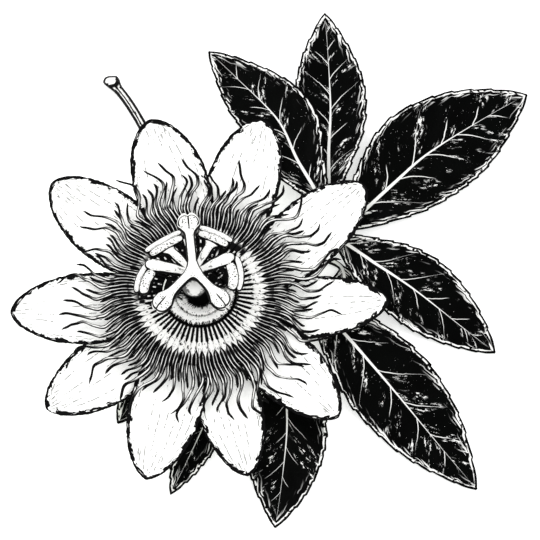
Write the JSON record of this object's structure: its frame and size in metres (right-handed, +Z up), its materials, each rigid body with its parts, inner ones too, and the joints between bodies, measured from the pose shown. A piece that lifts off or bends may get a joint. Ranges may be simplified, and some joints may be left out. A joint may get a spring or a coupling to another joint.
{
  "type": "passion flower",
  "caption": "Cut passion flower lying face up: star of petals and sepals, filament corona, raised stamens and styles, cut stem with pointed leaves.",
  "frame": {"origin": "on the resting surface, under the middle of the flower, where the flower stalk lies on it", "axes": "+Z up, out of the flower's face; +Y towards the two uppermost petals and the cut end of the stem; +X towards the leaves"},
  "size_m": [0.1263, 0.1331, 0.0302],
  "materials": {
    "petal": "matt, white with faint grey veins",
    "sepal": "matt, white above, greenish below",
    "leaf": "satin, very dark green with pale veins",
    "stem": "satin, dark green",
    "corona": "satin, dark with a white band",
    "centre": "matt, ivory",
    "anther": "matt, dusted with pollen"
  },
  "bodies": {
    "root": {"anther_1": "anther", "anther_2": "anther", "anther_3": "anther", "anther_4": "anther", "anther_5": "anther", "bract_1": "leaf", "bract_2": "leaf", "bract_3": "leaf", "column": "centre", "corona_inner": "corona", "corona_outer": "corona", "leaf_1": "leaf", "leaf_2": "leaf", "leaf_3": "leaf", "leaf_4": "leaf", "leaf_5": "leaf", "leaf_6": "leaf", "leaf_7": "leaf", "leaf_8": "leaf", "limen": "centre", "operculum": "centre", "ovary": "centre", "petal_1": "petal", "petal_2": "petal", "petal_3": "petal", "petal_4": "petal", "petal_5": "petal", "receptacle": "stem", "sepal_1": "sepal", "sepal_2": "sepal", "sepal_3": "sepal", "sepal_4": "sepal", "sepal_5": "sepal", "stamen_1": "centre", "stamen_2": "centre", "stamen_3": "centre", "stamen_4": "centre", "stamen_5": "centre", "stem": "stem", "styles": "centre"}
  },
  "joints": []
}
